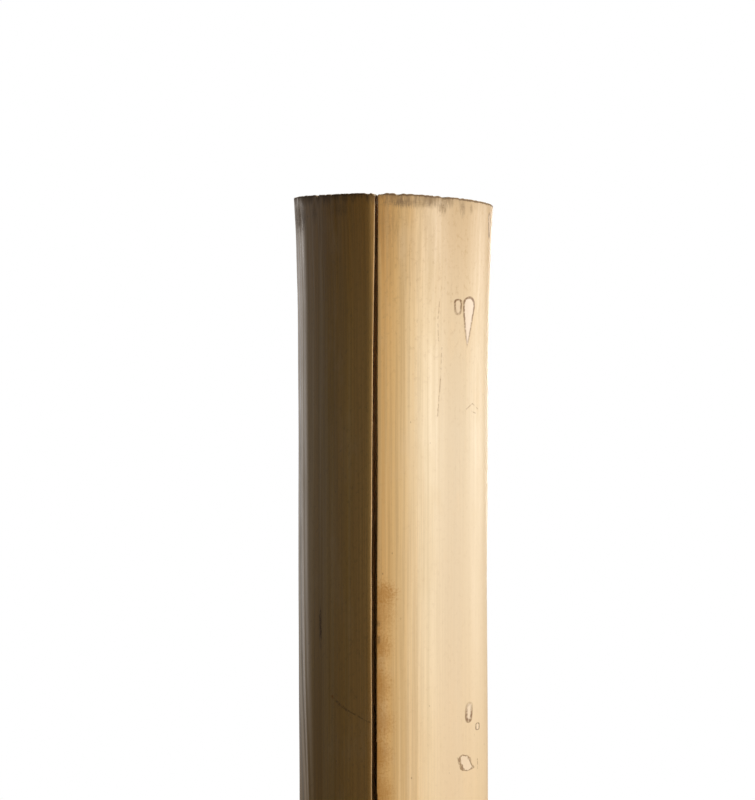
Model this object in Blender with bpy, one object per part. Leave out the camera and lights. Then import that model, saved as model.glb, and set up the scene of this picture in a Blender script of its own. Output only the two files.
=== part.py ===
"""A cut length of bamboo cane that stands on its own sawn foot.

The cane is one grown piece: a hollow stem with one node near the foot, the node's solid partition
inside it, two trimmed branch scars on the node, and a drying crack that runs down from the sawn top.
The stem is round but for one flattened side. Seen from the front, along +Y, the crack is a little
left of the middle, and the flattened side runs from it round to a blunt corner on the left.
"""

import math

import bmesh
import bpy
from mathutils import Matrix, Vector

MM = 0.001

# The cane as a whole. A bearing is an angle about the cane's axis, in degrees, from the front (-Y)
# towards the right (+X).
RADIUS = 40 * MM
HEIGHT = 360 * MM
WALL = 8 * MM
TOP_TILT = 2.47
SIDES = 80

# The flattened side of the stem above the node with the shoulder that blunts its left corner, and the
# flattened side below the node, which faces the other way. Each is a chord across the round section,
# from its left bearing to its right one, with rounded corners.
FLAT_SIDE = (-81.0, -13.0)
SHOULDER = (-88.5, -43.0)
FOOT_FLAT_SIDE = (113.0, 161.0)
CORNER_SOFTNESS = 2.0 * MM

# The node: its height, the reach of its rings, and the partition that closes the stem inside.
NODE_HEIGHT = 60 * MM
PARTITION = 3.6 * MM
PARTITION_FILLET = 6 * MM

# The crack along the flattened side's right edge, and how far its left lip has sunk.
CRACK_BEARING = -10.3
CRACK_WIDTH_TOP = 1.4 * MM
CRACK_WIDTH_MOST = 2.1 * MM
CRACK_WIDEST_HEIGHT = 112 * MM
CRACK_END_HEIGHT = 74 * MM
CRACK_END_WIDTH = 0.3 * MM
LIP_SINK = 0.7 * MM
LIP_SINK_REACH = 14.0

# The two branches that were trimmed off the node: bearing, radius at the cut and length.
BRANCH_SCARS = {"branch_large": (-41.0, 5.2 * MM, 7.5 * MM), "branch_small": (-60.0, 3.4 * MM, 7 * MM)}
BRANCH_RISE = 28.0
BRANCH_STANDS_OUT = 1.2 * MM

# The stem's outline: how much it stands out past RADIUS, at heights above the foot, at heights
# above the node, and at distances below the sawn top.
FOOT_SWELL = [(0, 1.0), (22, 1.2), (38, 1.7), (49, 2.2)]
NODE_SWELL = [
    (-5.2, 2.6),
    (-4.0, 3.5),
    (-2.8, 3.6),
    (-1.4, 2.1),
    (0.4, 2.2),
    (2.6, 3.3),
    (5.0, 3.6),
    (7.6, 2.9),
    (11.5, 1.5),
    (17.0, 0.6),
    (26.0, 0.15),
    (40.0, 0.0),
]
STEM_SWELL = [(78, 0.0), (140, 0.0)]
TOP_SWELL = [(95, 0.05), (62, 0.2), (45, 0.5), (28, 1.0), (15, 1.35), (6, 1.8), (0, 2.1)]


def smooth_step(value, start, end):
    """0 up to start, 1 from end on, and a smooth rise between them."""
    share = min(1.0, max(0.0, (value - start) / (end - start)))
    return share * share * (3.0 - 2.0 * share)


def turned_from(bearing, centre):
    """The angle from centre to bearing, between -180 and 180 degrees."""
    return (bearing - centre + 180.0) % 360.0 - 180.0


def flattened(bearing, side):
    """How far a flattened side lies inside the round outline at a bearing."""
    left, right = side
    half = (right - left) / 2.0
    turn = turned_from(bearing, left + half)
    if abs(turn) > half + 25.0:
        return 0.0
    chord = RADIUS * math.cos(math.radians(half)) / math.cos(math.radians(turn))
    blend = max(0.0, 1.0 - abs(RADIUS - chord) / CORNER_SOFTNESS)
    return RADIUS - min(RADIUS, chord) + blend * blend * CORNER_SOFTNESS / 4.0


def inset_at(bearing, height):
    """How far the stem's surface lies inside its round outline, in metres."""
    above = smooth_step(height, NODE_HEIGHT + 2 * MM, NODE_HEIGHT + 34 * MM)
    below = 1.0 - smooth_step(height, NODE_HEIGHT - 34 * MM, NODE_HEIGHT - 7 * MM)
    inset = above * max(flattened(bearing, FLAT_SIDE), flattened(bearing, SHOULDER))
    inset += below * flattened(bearing, FOOT_FLAT_SIDE)
    left_of_crack = turned_from(CRACK_BEARING, bearing)
    sunk = 0.0
    if 0.0 < left_of_crack < 90.0:
        opened = smooth_step(height, CRACK_END_HEIGHT, CRACK_WIDEST_HEIGHT)
        sunk = LIP_SINK * opened * math.exp(-left_of_crack / LIP_SINK_REACH)
    return inset + sunk


def stem_outline():
    """The half outline of the stem from the partition's top to its underside, as (radius, height)."""
    outer = [(RADIUS + swell * MM, height * MM) for height, swell in FOOT_SWELL]
    outer += [(RADIUS + swell * MM, NODE_HEIGHT + height * MM) for height, swell in NODE_SWELL]
    outer += [(RADIUS + swell * MM, NODE_HEIGHT + height * MM) for height, swell in STEM_SWELL]
    outer += [(RADIUS + swell * MM, HEIGHT - depth * MM) for depth, swell in TOP_SWELL]
    bore = RADIUS - WALL
    top, under = NODE_HEIGHT + PARTITION / 2, NODE_HEIGHT - PARTITION / 2
    chamber = [(0.0, top), (bore - PARTITION_FILLET, top)]
    chamber += [(bore - 0.3 * PARTITION_FILLET, top + 0.3 * PARTITION_FILLET), (bore, top + PARTITION_FILLET)]
    chamber += [(bore, height) for height in (0.26 * HEIGHT, 0.33 * HEIGHT, 0.5 * HEIGHT, 0.75 * HEIGHT)]
    chamber += [(radius - WALL, height) for radius, height in outer[-5:]]
    foot = [(outer[0][0] - WALL, 0.0), (outer[1][0] - WALL, 0.3 * NODE_HEIGHT)]
    foot += [(bore + 1.2 * MM, under - PARTITION_FILLET)]
    foot += [(bore - 0.3 * PARTITION_FILLET, under - 0.3 * PARTITION_FILLET)]
    foot += [(bore - PARTITION_FILLET, under), (0.0, under)]
    return chamber + outer[::-1] + foot


def make_material(name, colour, roughness):
    material = bpy.data.materials.new(name)
    material.use_nodes = True
    shader = material.node_tree.nodes["Principled BSDF"]
    shader.inputs["Base Color"].default_value = (*colour, 1.0)
    shader.inputs["Roughness"].default_value = roughness
    shader.inputs["Metallic"].default_value = 0.0
    return material


def make_object(name, shape, collection):
    """An object from a bmesh, which is freed."""
    mesh = bpy.data.meshes.new(name)
    shape.to_mesh(mesh)
    shape.free()
    made = bpy.data.objects.new(name, mesh)
    collection.objects.link(made)
    return made


def spin_outline(outline):
    """The outline turned a full circle about Z, with its ends closed on the axis."""
    shape = bmesh.new()
    first = CRACK_BEARING + 180.0 / SIDES
    points = [shape.verts.new((radius, 0.0, height)) for radius, height in outline]
    edges = [shape.edges.new(pair) for pair in zip(points, points[1:])]
    bmesh.ops.rotate(shape, verts=points, matrix=Matrix.Rotation(math.radians(first - 90.0), 3, "Z"))
    bmesh.ops.spin(shape, geom=points + edges, axis=(0, 0, 1), steps=SIDES, angle=2 * math.pi, use_merge=True)
    bmesh.ops.remove_doubles(shape, verts=shape.verts, dist=0.01 * MM)
    return shape


def shape_stem(shape):
    """Moves the turned stem's points to its true section, and tilts the sawn top."""
    bore = RADIUS - WALL
    slope = math.tan(math.radians(TOP_TILT))
    for point in shape.verts:
        radius = math.hypot(point.co.x, point.co.y)
        if radius > 0.0:
            bearing = math.degrees(math.atan2(point.co.x, -point.co.y))
            inset = inset_at(bearing, point.co.z) * min(1.0, radius / bore)
            point.co.x *= (radius - inset) / radius
            point.co.y *= (radius - inset) / radius
        point.co.z -= slope * point.co.x * smooth_step(point.co.z, 0.7 * HEIGHT, HEIGHT)
    bmesh.ops.recalc_face_normals(shape, faces=shape.faces)


def make_crack_cutter(collection):
    """A thin upright wedge through one wall: open at the top, widest low down, closed above the node."""
    half_widths = [
        (CRACK_END_WIDTH / 2, CRACK_END_HEIGHT),
        (CRACK_WIDTH_MOST / 2, CRACK_WIDEST_HEIGHT),
        (CRACK_WIDTH_TOP / 2, HEIGHT + 20 * MM),
    ]
    outline = [(half, height) for half, height in half_widths]
    outline += [(-half, height) for half, height in reversed(half_widths)]
    shape = bmesh.new()
    face = shape.faces.new([shape.verts.new((across, -0.5 * RADIUS, height)) for across, height in outline])
    grown = bmesh.ops.extrude_face_region(shape, geom=[face])["geom"]
    outer = [item for item in grown if isinstance(item, bmesh.types.BMVert)]
    bmesh.ops.translate(shape, verts=outer, vec=(0.0, -RADIUS, 0.0))
    bmesh.ops.recalc_face_normals(shape, faces=shape.faces)
    cutter = make_object("crack_cutter", shape, collection)
    cutter.rotation_euler.z = math.radians(CRACK_BEARING)
    return cutter


def make_branch(name, bearing, radius, length, collection):
    """The trimmed root of a branch: a short cone that leaves the node outwards and upwards."""
    shape = bmesh.new()
    bmesh.ops.create_cone(
        shape, cap_ends=True, segments=20, radius1=1.25 * radius, radius2=radius, depth=length
    )
    bmesh.ops.translate(shape, verts=shape.verts, vec=(0.0, 0.0, -length / 2))
    branch = make_object(name, shape, collection)
    turn = math.radians(bearing)
    outward = Vector((math.sin(turn), -math.cos(turn), math.tan(math.radians(BRANCH_RISE))))
    reach = RADIUS + max(swell for _, swell in NODE_SWELL) * MM + BRANCH_STANDS_OUT
    branch.location = (reach * math.sin(turn), -reach * math.cos(turn), NODE_HEIGHT + 6 * MM)
    branch.rotation_mode = "QUATERNION"
    branch.rotation_quaternion = outward.to_track_quat("Z", "Y")
    return branch


def hide_helper(helper):
    helper.hide_render = True
    helper.display_type = "WIRE"


def add_boolean(stem, name, operation, other):
    modifier = stem.modifiers.new(name, "BOOLEAN")
    modifier.operation = operation
    modifier.solver = "EXACT"
    modifier.object = other


for old in list(bpy.data.objects):
    bpy.data.objects.remove(old)

cane_parts = bpy.data.collections.new("bamboo_cane")
helpers = bpy.data.collections.new("cutters")
for collection in (cane_parts, helpers):
    bpy.context.scene.collection.children.link(collection)

stem_shape = spin_outline(stem_outline())
shape_stem(stem_shape)
cane = make_object("cane", stem_shape, cane_parts)
cane.data.materials.append(make_material("cane_skin", (0.78, 0.58, 0.33), 0.45))

for scar_name, (scar_bearing, scar_radius, scar_length) in BRANCH_SCARS.items():
    scar = make_branch(scar_name, scar_bearing, scar_radius, scar_length, helpers)
    hide_helper(scar)
    add_boolean(cane, scar_name, "UNION", scar)

crack = make_crack_cutter(helpers)
hide_helper(crack)
add_boolean(cane, "crack", "DIFFERENCE", crack)

cane.data.shade_smooth()
cane.data.set_sharp_from_angle(angle=math.radians(30))
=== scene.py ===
"""The looks of a cut length of dried bamboo cane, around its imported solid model.

The cane is one grown stem that stands on its sawn foot: a node near the foot with two trimmed branch
scars, a flattened side to the left of a long drying crack, and a sawn top. Lengths are in millimetres
until a point is placed, and a bearing is an angle round the stem in degrees, from the front (-Y)
towards the right (+X).
"""

import functools
import math

import bmesh
import bpy
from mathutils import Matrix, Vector, noise


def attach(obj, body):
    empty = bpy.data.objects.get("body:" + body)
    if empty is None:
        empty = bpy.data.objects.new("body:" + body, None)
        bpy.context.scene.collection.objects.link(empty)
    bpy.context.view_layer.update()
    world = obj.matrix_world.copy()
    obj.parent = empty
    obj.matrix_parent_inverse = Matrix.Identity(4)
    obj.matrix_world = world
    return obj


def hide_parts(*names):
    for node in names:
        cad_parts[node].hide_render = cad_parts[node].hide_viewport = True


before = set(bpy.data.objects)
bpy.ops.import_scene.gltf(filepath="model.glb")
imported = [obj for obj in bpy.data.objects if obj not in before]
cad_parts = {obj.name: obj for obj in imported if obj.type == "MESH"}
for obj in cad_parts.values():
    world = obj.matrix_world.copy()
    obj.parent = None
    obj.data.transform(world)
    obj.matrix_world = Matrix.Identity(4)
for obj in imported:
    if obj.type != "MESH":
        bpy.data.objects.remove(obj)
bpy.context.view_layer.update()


# The stem. A bamboo stem grows as a hollow tube that swells at each node and, here, flares a little at
# its sawn top. The side above a branch grows flattened, from the crack round to a long blunt corner on
# the left, and below the node the opposite side does.
MM = 0.001
RADIUS = 40.0
WALL = 8.0
HEIGHT = 360.0
TOP_TILT = 2.47
NODE_HEIGHT = 60.0
AROUND = 2.0 * math.pi * RADIUS
ALONG_A_DEGREE = math.radians(RADIUS)

# The swell of the outside past RADIUS, as (height, swell), and how far the stem leans to the right.
FOOT_SWELL = [(0, 1.0), (22, 1.2), (38, 1.7), (49, 2.2)]
NODE_SWELL = [(53.8, 2.5), (55.4, 2.9), (56.3, 3.6), (57.2, 3.7), (58.4, 2.4), (60.2, 2.15), (62.4, 3.1)]
NODE_SWELL += [(65.0, 3.6), (67.6, 2.9), (71.5, 1.5), (77.0, 0.6), (86.0, 0.15), (100.0, 0.0)]
TOP_SWELL = [(195, 0.0), (235, 0.2), (270, 0.25), (298, 0.3), (315, 0.5), (332, 1.0), (345, 1.35)]
TOP_SWELL += [(354, 1.8), (360, 2.1)]
BOW = [(0, 0.3), (60, 0.7), (103, 0.6), (170, 0.25), (200, 0.17), (245, 0.3), (288, 0.35)]
BOW += [(320, 0.5), (360, 0.5)]

# A flattened side is a slightly bulging chord across the round section between two bearings, with a
# rounded corner at each end. A corner's softness is how far from it, in depth, the rounding reaches.
# The shoulder is a second, narrower flat that blunts the left corner of the first. Its right bearing is a
# curve of (height, bearing) points, because it widens low down.
FLAT_SIDE = {"right": -12.5, "left": -81.0, "bulge": 0.8, "right_softness": 1.6, "left_softness": 0.01}
SHOULDER = {"left": -88.5, "bulge": 0.15, "right_softness": 0.6, "left_softness": 0.6}
SHOULDER_RIGHT = [(110, -39.5), (150, -41.5), (190, -44.2), (225, -45.7), (265, -46.8), (305, -48.0)]
SHOULDER_BLEND = 0.7
FOOT_FLAT_SIDE = {"right": 161.0, "left": 113.0, "bulge": 0.3, "right_softness": 3.0, "left_softness": 3.0}


def ease(value, start, end):
    """0 up to start, 1 from end on, and a smooth rise between them."""
    share = min(1.0, max(0.0, (value - start) / (end - start)))
    return share * share * (3.0 - 2.0 * share)


def bump(value, centre, width):
    """A smooth bump of height 1 at centre."""
    return math.exp(-(((value - centre) / width) ** 2))


def turned_from(bearing, centre):
    """The angle from centre to bearing, between -180 and 180 degrees."""
    return (bearing - centre + 180.0) % 360.0 - 180.0


def outwards(bearing):
    """The way out from the axis at a bearing, as shares to the right and to the back."""
    turn = math.radians(bearing)
    return math.sin(turn), -math.cos(turn)


def along_curve(points, place):
    """The height at a place of the smooth curve through (place, height) points."""
    if place <= points[0][0]:
        return points[0][1]
    if place >= points[-1][0]:
        return points[-1][1]
    index = max(i for i, point in enumerate(points[:-1]) if point[0] <= place)

    def slope(i):
        before, after = points[max(i - 1, 0)], points[min(i + 1, len(points) - 1)]
        return (after[1] - before[1]) / (after[0] - before[0])

    (start, low), (end, high) = points[index], points[index + 1]
    span = end - start
    t = (place - start) / span
    rise = (2 * t**3 - 3 * t**2 + 1) * low + (3 * t**2 - 2 * t**3) * high
    return rise + (t**3 - 2 * t**2 + t) * span * slope(index) + (t**3 - t**2) * span * slope(index + 1)


@functools.cache
def nominal_radius(height):
    """The radius of the round stem at a height."""
    return RADIUS + along_curve(FOOT_SWELL + NODE_SWELL + TOP_SWELL, height)


def flattened(bearing, side):
    """How far a flattened side lies inside the round outline at a bearing."""
    half = (side["right"] - side["left"]) / 2.0
    turn = turned_from(bearing, side["left"] + half)
    if abs(turn) > half + 25.0:
        return 0.0
    softness = side["right_softness"] if turn > 0.0 else side["left_softness"]
    chord = RADIUS * math.cos(math.radians(half)) / math.cos(math.radians(turn))
    chord += side["bulge"] * max(0.0, 1.0 - (turn / half) ** 2)
    blend = max(0.0, 1.0 - abs(RADIUS - chord) / softness)
    return RADIUS - min(RADIUS, chord) + blend * blend * softness / 4.0


def flattened_with_shoulder(bearing, height):
    """How far the flattened side and its shoulder lie inside the round outline, softly joined."""
    here = SHOULDER | {"right": along_curve(SHOULDER_RIGHT, height)}
    flat, shoulder = flattened(bearing, FLAT_SIDE), flattened(bearing, here)
    blend = max(0.0, 1.0 - abs(flat - shoulder) / SHOULDER_BLEND)
    rounding = blend * blend * SHOULDER_BLEND / 4.0 * min(1.0, min(flat, shoulder) / SHOULDER_BLEND)
    return max(flat, shoulder) + rounding


# The drying crack. The stem split along the flattened side's right edge when it dried: from the sawn
# top down to the node, widest about halfway, with the left lip sunk below the right one. The worn edge of
# a lip has a depth and a width.
CRACK_BEARING = -10.3
CRACK_END = 74.0
CRACK_WIDTHS = [(CRACK_END, 0.0), (82, 0.75), (95, 1.65), (112, 2.3), (150, 2.4), (195, 2.65), (235, 2.7)]
CRACK_WIDTHS += [(276, 2.4), (318, 2.0), (345, 1.5), (360, 1.4)]
CRACK_LEAN = [(CRACK_END, -2.26), (148, -1.6), (191, -1.28), (233, -1.02), (276, -0.90), (318, -0.6)]
CRACK_LEAN += [(348, -0.02), (360, 0.2)]
CRACK_SWAY = 0.10
LIP_SINK = 0.6
LIP_SINK_REACH = 14.0
LIP_WEAR = {"left": (0.14, 0.22), "right": (0.10, 0.30)}


@functools.cache
def crack_width(height):
    return along_curve(CRACK_WIDTHS, height) if height > CRACK_END else 0.0


@functools.cache
def crack_sway(height):
    """How far the crack lies right of its bearing, in degrees: it leans with the fibres and wanders."""
    wander = noise.noise(Vector((0.031 * height, 5.0, 0.0)))
    wander += 0.4 * noise.noise(Vector((0.17 * height, 9.0, 0.0)))
    wander *= ease(height, CRACK_END, 100.0)
    return along_curve(CRACK_LEAN, height) + math.degrees(CRACK_SWAY * wander / RADIUS)


def lip_sink(bearing, height):
    """How far the left lip of the crack has sunk, which fades to the left."""
    left_of_crack = turned_from(CRACK_BEARING, bearing)
    if not 0.0 <= left_of_crack < 90.0:
        return 0.0
    return LIP_SINK * ease(height, CRACK_END, 112.0) * math.exp(-left_of_crack / LIP_SINK_REACH)


def lip_wear(from_right_lip, height):
    """How far the worn edges of the crack's two lips lie below the skin."""
    from_left_lip = AROUND - from_right_lip
    distance, side = (from_right_lip, "right") if from_right_lip < from_left_lip else (from_left_lip, "left")
    depth, width = LIP_WEAR[side]
    from_edge = distance - crack_width(height) / 2.0
    if from_edge > width:
        return 0.0
    return depth * (1.0 - max(0.0, from_edge) / width) ** 1.5 * ease(height, CRACK_END, 100.0)


# The two long low ridges of the left corner, as (height, bearing) points, which wind round the stem and
# draw together towards the node, with their rise.
CORNER_RIDGES = [
    ([(60, -71.0), (110, -74.0), (131, -75.7), (165, -78.2), (216, -79.2), (320, -80.0), (360, -82.0)], 0.30),
    ([(60, -74.0), (110, -77.6), (131, -80.6), (165, -84.3), (216, -85.7), (267, -86.8), (360, -91.0)], 0.28),
]
RIDGE_WIDTH = 1.6


@functools.cache
def ridge_bearings(height):
    return [along_curve(path, height) for path, _ in CORNER_RIDGES]


def smooth_radius(bearing, height):
    """The skin's radius without its fine ridges, which the inner wall follows."""
    above = ease(height, NODE_HEIGHT + 2.0, NODE_HEIGHT + 34.0)
    below = 1.0 - ease(height, NODE_HEIGHT - 34.0, NODE_HEIGHT - 7.0)
    radius = nominal_radius(height)
    radius -= above * flattened_with_shoulder(bearing, height)
    radius -= below * flattened(bearing, FOOT_FLAT_SIDE)
    return radius - lip_sink(bearing, height)


# How far the fine fibre ribs, the broader waves and the slight unevenness of the skin rise.
RIB_RISE = 0.025
WAVE_RISE = 0.045
UNEVENNESS = 0.16


def skin_relief(bearing, height):
    """What the skin adds to the smooth radius: the corner's ridges, fibre ribs and a slight unevenness."""
    around = Vector((*outwards(bearing), 0.0)) * RADIUS
    ribs = noise.noise(around * 0.42 + Vector((0.0, 0.0, 0.004 * height)))
    waves = noise.noise(around * 0.11 + Vector((7.0, 0.0, 0.006 * height)))
    unevenness = noise.noise(around * 0.03 + Vector((0.0, 3.0, 0.022 * height)))
    relief = RIB_RISE * ribs + WAVE_RISE * waves + UNEVENNESS * unevenness
    above = ease(height, NODE_HEIGHT + 10.0, NODE_HEIGHT + 40.0)
    if -100.0 < turned_from(bearing, 0.0) < -55.0:
        for centre, (_, rise) in zip(ridge_bearings(height), CORNER_RIDGES):
            relief += above * rise * bump(bearing, centre, RIDGE_WIDTH)
    return relief


# The sawn top. The cut is tilted, its edges are worn and ragged, and the lips of the crack are chipped
# there. The wear reaches down to where the top's worn rows start.
CUT_ROUGHNESS = 0.22
EDGE_WEAR = 0.35
EDGE_SHARE = 0.035
NICK_DEPTH = 2.6
LIP_CHIP = 1.5
LIP_CHIP_REACH = 1.3
WORN_FROM = 357.0
MOST_WORN = 2.5


def sawn_top_drop(bearing, share):
    """How far the top lies below a clean cut: worn edges, small nicks and the chipped lips."""
    around = Vector((*outwards(bearing), 0.0)) * RADIUS
    roughness = CUT_ROUGHNESS * (1.0 + noise.noise(around * 0.9 + Vector((0.0, 0.0, 4.0 * share))))
    worn = EDGE_WEAR * max(0.0, 1.0 - min(share, 1.0 - share) / EDGE_SHARE)
    nicks = max(0.0, noise.noise(around * 0.33 + Vector((11.0, 2.0, 0.0))) - 0.10)
    nicks *= NICK_DEPTH * (1.0 - share) ** 3
    from_crack = abs(turned_from(bearing, CRACK_BEARING)) * ALONG_A_DEGREE
    chip = LIP_CHIP * math.exp(-((from_crack / LIP_CHIP_REACH) ** 2)) * (1.0 - 0.6 * share)
    return min(MOST_WORN, roughness + worn + nicks + chip)


# The stem's sheet. Its profile runs from the axis over the partition, up the inner wall, across the
# sawn top, down the skin, round the foot and back to the axis. A point of it is (radius, height, share):
# the share is 0 at the skin, 1 at the inner wall, and 2 on the axis.
COLUMNS = 430
SWAY_FADES_BY = 0.06
TORN_DEPTH = 0.25
WALL_SHARES = (0.0, 0.035, 0.15, 0.38, 0.62, 0.85, 0.965, 1.0)
PARTITION = 3.6
PARTITION_FILLET = 6.0
BORE = RADIUS - WALL


def steps_between(start, end, count):
    """Evenly spaced heights after start, up to end."""
    return [start + (end - start) * (i + 1) / count for i in range(count)]


WALL_ROWS = [CRACK_END] + steps_between(CRACK_END, 94.0, 11) + steps_between(94.0, 334.0, 34)
WALL_ROWS += steps_between(334.0, WORN_FROM, 14) + [358.2, 359.2, 359.8, HEIGHT]


def outside_below_crack():
    """Points down the outside, from just below the crack's end to the foot's cut and across it."""
    heights = steps_between(CRACK_END, 50.0, 30) + steps_between(50.0, 4.0, 12) + [2.0, 1.0, 0.45, 0.12]
    points = [(nominal_radius(height), height, 0.0) for height in heights]
    foot = points[-1][0]
    points.append((foot - 0.3, 0.0, 0.04))
    return points + [(foot - WALL * share, 0.0, share) for share in (0.3, 0.65, 0.95)]


def partition_side(height, side):
    """Points from the wall to the axis over one side of the partition: side is 1 on its top, -1 below."""
    points = []
    for angle in (90.0, 67.5, 45.0, 22.5, 0.0):
        inward = PARTITION_FILLET * (1.0 - math.sin(math.radians(angle)))
        away = PARTITION_FILLET * (1.0 - math.cos(math.radians(angle)))
        points.append((BORE - inward, height + side * away, 1.0))
    return points + [(radius, height, 2.0 - radius / BORE) for radius in (24.0, 19.0, 13.0, 7.0, 2.5, 0.0)]


def stem_profile():
    top, under = NODE_HEIGHT + PARTITION / 2, NODE_HEIGHT - PARTITION / 2
    profile = partition_side(top, 1.0)[::-1]
    profile += [(nominal_radius(height) - WALL, height, 1.0) for height in WALL_ROWS[:-1]]
    profile += [(nominal_radius(HEIGHT) - WALL * share, HEIGHT, share) for share in reversed(WALL_SHARES)]
    profile += [(nominal_radius(height), height, 0.0) for height in reversed(WALL_ROWS[:-1])]
    profile += outside_below_crack() + [(BORE + 1.05, 0.5, 1.0)]
    profile += [(BORE + 1.2, height, 1.0) for height in (6.0, 14.0, 24.0, 34.0, 44.0)]
    return profile + partition_side(under, -1.0)


def spread_bearing(share):
    """Turns an even share of the way round into degrees right of the crack, closer spaced near it."""
    crowding, reach = 0.74, 6.0
    half = min(share, 1.0 - share) * 360.0
    spread = half - crowding * reach * (1.0 - math.exp(-half / reach))
    spread *= 180.0 / (180.0 - crowding * reach)
    return spread if share < 0.5 else 360.0 - spread


def place_point(around, radius, height, share):
    """Where a point of the sheet belongs, as (point in metres, its distance right of the crack in metres)."""
    opening = math.degrees(crack_width(height) / 2.0 / RADIUS)
    right_of_crack = opening + spread_bearing(around) * (360.0 - 2.0 * opening) / 360.0
    distance = math.radians(right_of_crack) * RADIUS
    sway = crack_sway(height) * (1.0 - min(1.0, min(around, 1.0 - around) / SWAY_FADES_BY))
    bearing = turned_from(CRACK_BEARING + right_of_crack + sway, 0.0)
    if share < 1.0:
        radius += (skin_relief(bearing, height) - lip_wear(distance, height)) * (1.0 - share)
        radius += collar_rise(bearing, height) * (1.0 - share)
    inwards = min(1.0, radius / BORE)
    radius += (smooth_radius(bearing, height) - nominal_radius(height)) * inwards
    if around in (0.0, 1.0) and 0.0 < share < 1.0 and height > CRACK_END:
        torn = noise.noise(Vector((0.5 * share * WALL, 20.0 * around, 0.05 * height)))
        bearing += math.degrees(TORN_DEPTH * torn / RADIUS) * ease(height, CRACK_END, 95.0)
    right, back = outwards(bearing)
    across, deep = radius * right, radius * back
    if height > WORN_FROM:
        height -= sawn_top_drop(bearing, share) * (height - WORN_FROM) / (HEIGHT - WORN_FROM)
    height -= math.tan(math.radians(TOP_TILT)) * across * ease(height, 0.7 * HEIGHT, HEIGHT - 2.0)
    return Vector((across + along_curve(BOW, height), deep, height)) * MM, distance * MM


# The trimmed branches' places on the node, as (bearing, height, radius of the cut). The node swells to
# a low collar round each.
BRANCH_SCARS = {"branch_scar_large": (-41.0, 66.0, 5.2), "branch_scar_small": (-60.0, 66.0, 3.4)}
COLLAR_RISE = 0.9


def collar_rise(bearing, height):
    rise = 0.0
    for branch_bearing, branch_height, cut_radius in BRANCH_SCARS.values():
        across = turned_from(bearing, branch_bearing) * ALONG_A_DEGREE
        apart = math.hypot(across, height - branch_height - 1.0)
        rise += COLLAR_RISE * bump(apart, cut_radius, 0.55 * cut_radius)
    return rise


def ridge_highlight_and_shade(around, height):
    """1 on a crest of the left corner's ridges, where a highlight is painted pale, -1 in a groove beside,
    where shade is painted dark.
    """
    if height < NODE_HEIGHT + 10.0:
        return 0.0
    bearing = turned_from(CRACK_BEARING + spread_bearing(around), 0.0)
    upper, lower = ridge_bearings(height)
    ridge_light = bump(bearing, upper, 1.5) + bump(bearing, lower, 1.5)
    groove_shade = bump(bearing, (upper + lower) / 2.0, 1.4) + bump(bearing, lower - 4.5, 1.8)
    return (ridge_light - groove_shade) * ease(height, NODE_HEIGHT + 10.0, NODE_HEIGHT + 40.0)


# The stem's surfaces, with the number of each one's material.
SURFACES = {"skin": 0, "sawn_end": 1, "lining": 2, "split_wall": 3}


def add_sheet(shape, columns, rows, place_corner, surface_of, bake_strip):
    """A grid of faces whose corners go where place_corner says, with their distances and bake places."""
    bake_start, bake_width = bake_strip
    made = bmesh.ops.create_grid(shape, x_segments=columns, y_segments=rows, size=1.0)["verts"]
    where = {}
    for point in made:
        column = round((point.co.x + 1.0) / 2.0 * columns)
        row = round((point.co.y + 1.0) / 2.0 * rows)
        point.co, distance, share, ridge_light_value = place_corner(column, row)
        point[shape.verts.layers.float["wall_share"]] = share
        point[shape.verts.layers.float["ridge_highlight_and_shade"]] = ridge_light_value
        where[point] = (column, row, distance)
    for face in {face for point in made for face in point.link_faces}:
        first = min(where[corner.vert][1] for corner in face.loops)
        face.material_index = SURFACES[surface_of(first)]
        for corner in face.loops:
            column, row, distance = where[corner.vert]
            corner[shape.loops.layers.uv["around_and_up"]].uv = (distance, corner.vert.co.z)
            baked = (bake_start + bake_width * column / columns, row / rows)
            corner[shape.loops.layers.uv["OFBake"]].uv = baked


def make_stem_shape():
    """The profile rolled round the axis, open along the crack, with the crack's two walls between."""
    shape = bmesh.new()
    shape.verts.layers.float.new("wall_share")
    shape.verts.layers.float.new("ridge_highlight_and_shade")
    shape.loops.layers.uv.new("around_and_up")
    shape.loops.layers.uv.new("OFBake")
    profile = stem_profile()
    shares = [point[2] for point in profile]

    def on_sheet(column, row):
        radius, height, share = profile[row]
        around = column / COLUMNS
        return *place_point(around, radius, height, share), share, ridge_highlight_and_shade(around, height)

    def sheet_surface(row):
        low, high = sorted(shares[row:row + 2])
        return "lining" if low >= 1.0 else "skin" if high == 0.0 else "sawn_end"

    add_sheet(shape, COLUMNS, len(profile) - 1, on_sheet, sheet_surface, (0.0, 0.94))
    for side, bake_start in ((0.0, 0.95), (1.0, 0.975)):

        def on_crack_wall(column, row):
            share, height = WALL_SHARES[column], WALL_ROWS[row]
            return *place_point(side, nominal_radius(height) - WALL * share, height, share), share, 0.0

        wall_columns, wall_rows = len(WALL_SHARES) - 1, len(WALL_ROWS) - 1
        add_sheet(shape, wall_columns, wall_rows, on_crack_wall, lambda row: "split_wall", (bake_start, 0.02))
    bmesh.ops.remove_doubles(shape, verts=shape.verts, dist=0.01 * MM)
    bmesh.ops.recalc_face_normals(shape, faces=shape.faces)
    return shape


def make_object(name, shape, sharp_from):
    """An object from a bmesh, which is freed. It is smooth but for edges sharper than an angle."""
    mesh = bpy.data.meshes.new(name)
    shape.to_mesh(mesh)
    shape.free()
    mesh.shade_smooth()
    mesh.set_sharp_from_angle(angle=math.radians(sharp_from))
    made = bpy.data.objects.new(name, mesh)
    bpy.context.scene.collection.objects.link(made)
    return made


stem = make_object("bamboo_stem", make_stem_shape(), 35)
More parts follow.
